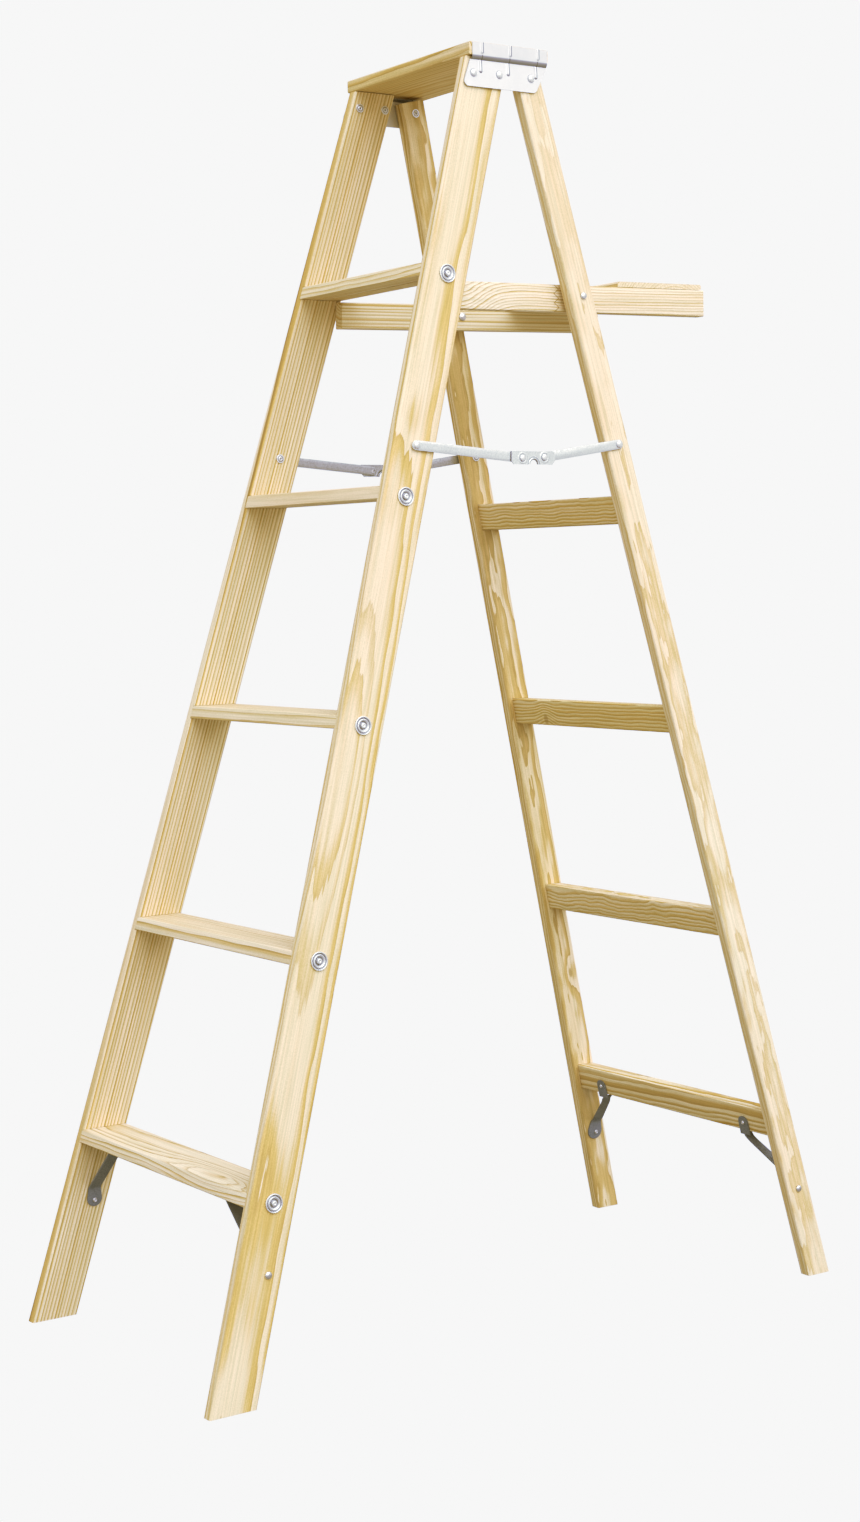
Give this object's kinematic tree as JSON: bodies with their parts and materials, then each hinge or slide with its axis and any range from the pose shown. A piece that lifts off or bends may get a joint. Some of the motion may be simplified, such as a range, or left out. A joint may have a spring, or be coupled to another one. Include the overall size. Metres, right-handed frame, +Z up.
{
  "type": "stepladder",
  "caption": "Wooden A-frame stepladder with flat treads, a top cap, braced rear bars, folding steel spreaders and a folding pail shelf.",
  "frame": {"origin": "on the floor, midway between the front and rear feet and between the two sides, with the ladder open", "axes": "+Z up; +X across the ladder to the climber's right; -Y to the climbing side; +Y to the rear section"},
  "size_m": [0.518, 1.0354, 1.7285],
  "materials": {
    "rail_wood": "bare planed pine, satin",
    "tread_wood": "bare planed pine, satin",
    "galvanised_steel": "zinc plated sheet, satin",
    "strap_steel": "dark mill-finish strap, satin",
    "rivet_steel": "zinc plated, bright"
  },
  "bodies": {
    "front_section": {"front_rail_left": "rail_wood", "front_rail_right": "rail_wood", "tread_1": "tread_wood", "tread_2": "tread_wood", "tread_3": "tread_wood", "tread_4": "tread_wood", "tread_5": "tread_wood", "tread_rod_1": "rivet_steel", "tread_rod_2": "rivet_steel", "tread_rod_3": "rivet_steel", "tread_rod_4": "rivet_steel", "tread_rod_5": "rivet_steel", "top_cap": "tread_wood", "top_bracket_left": "galvanised_steel", "top_bracket_right": "galvanised_steel", "bracket_rivet_front_left": "rivet_steel", "bracket_rivet_front_right": "rivet_steel", "bracket_rivet_back_left": "rivet_steel", "bracket_rivet_back_right": "rivet_steel", "fold_pivot_left": "rivet_steel", "fold_pivot_right": "rivet_steel", "tread_brace_left": "strap_steel", "tread_brace_right": "strap_steel", "tread_brace_rivet_left": "rivet_steel", "tread_brace_rivet_right": "rivet_steel", "tread_brace_screw_left": "rivet_steel", "tread_brace_screw_right": "rivet_steel", "spreader_rivet_front_left": "rivet_steel", "spreader_rivet_front_right": "rivet_steel"},
    "rear_section": {"rear_rail_left": "rail_wood", "rear_rail_right": "rail_wood", "rear_bar_1": "tread_wood", "rear_bar_2": "tread_wood", "rear_bar_3": "tread_wood", "rear_bar_4": "tread_wood", "rear_brace_left": "strap_steel", "rear_brace_right": "strap_steel", "rear_brace_rivet_left": "rivet_steel", "rear_brace_rivet_right": "rivet_steel", "rear_brace_screw_left": "rivet_steel", "rear_brace_screw_right": "rivet_steel", "shelf_bolt_left": "rivet_steel", "shelf_bolt_right": "rivet_steel", "shelf_spacer_left": "rivet_steel", "shelf_spacer_right": "rivet_steel", "spreader_rivet_rear_left": "rivet_steel", "spreader_rivet_rear_right": "rivet_steel"},
    "pail_shelf": {"shelf_arm_left": "tread_wood", "shelf_arm_right": "tread_wood", "shelf_board": "tread_wood"},
    "spreader_front_left": {"spreader_link_front_left": "galvanised_steel"},
    "spreader_elbow_left": {"spreader_elbow_left": "galvanised_steel", "elbow_rivet_front_left": "rivet_steel", "elbow_rivet_rear_left": "rivet_steel"},
    "spreader_rear_left": {"spreader_link_rear_left": "galvanised_steel"},
    "spreader_front_right": {"spreader_link_front_right": "galvanised_steel"},
    "spreader_elbow_right": {"spreader_elbow_right": "galvanised_steel", "elbow_rivet_front_right": "rivet_steel", "elbow_rivet_rear_right": "rivet_steel"},
    "spreader_rear_right": {"spreader_link_rear_right": "galvanised_steel"}
  },
  "joints": [
    {"name": "rear_fold", "type": "hinge", "parent": "front_section", "child": "rear_section", "pos_m": [0, 0.0915, 1.6884], "axis": [-1, 0, 0], "range_deg": [0, 30.05]},
    {"name": "shelf_fold", "type": "hinge", "parent": "rear_section", "child": "pail_shelf", "pos_m": [0, 0.1623, 1.401], "axis": [1, 0, 0], "range_deg": [0, 102.32]},
    {"name": "spreader_front_left", "type": "hinge", "parent": "front_section", "child": "spreader_front_left", "pos_m": [-0.1827, -0.1297, 1.194], "axis": [1, 0, 0], "range_deg": [0, 72.09]},
    {"name": "spreader_elbow_left", "type": "hinge", "parent": "spreader_front_left", "child": "spreader_elbow_left", "pos_m": [-0.1845, 0.0398, 1.1789], "axis": [-1, 0, 0], "range_deg": [0, 94.1]},
    {"name": "spreader_rear_left", "type": "hinge", "parent": "rear_section", "child": "spreader_rear_left", "pos_m": [-0.1809, 0.2081, 1.1995], "axis": [-1, 0, 0], "range_deg": [0, 78.51]},
    {"name": "spreader_front_right", "type": "hinge", "parent": "front_section", "child": "spreader_front_right", "pos_m": [0.1827, -0.1297, 1.194], "axis": [1, 0, 0], "range_deg": [0, 72.09]},
    {"name": "spreader_elbow_right", "type": "hinge", "parent": "spreader_front_right", "child": "spreader_elbow_right", "pos_m": [0.1845, 0.0398, 1.1789], "axis": [-1, 0, 0], "range_deg": [0, 94.1]},
    {"name": "spreader_rear_right", "type": "hinge", "parent": "rear_section", "child": "spreader_rear_right", "pos_m": [0.1809, 0.2081, 1.1995], "axis": [-1, 0, 0], "range_deg": [0, 78.51]}
  ],
  "couplings": [
    {"joint": "shelf_fold", "follows": "rear_fold", "ratio": 3.4046},
    {"joint": "spreader_front_left", "follows": "rear_fold", "ratio": 2.3987},
    {"joint": "spreader_elbow_left", "follows": "rear_fold", "ratio": 3.1309},
    {"joint": "spreader_rear_left", "follows": "rear_fold", "ratio": 2.6123},
    {"joint": "spreader_front_right", "follows": "rear_fold", "ratio": 2.3987},
    {"joint": "spreader_elbow_right", "follows": "rear_fold", "ratio": 3.1309},
    {"joint": "spreader_rear_right", "follows": "rear_fold", "ratio": 2.6123}
  ]
}
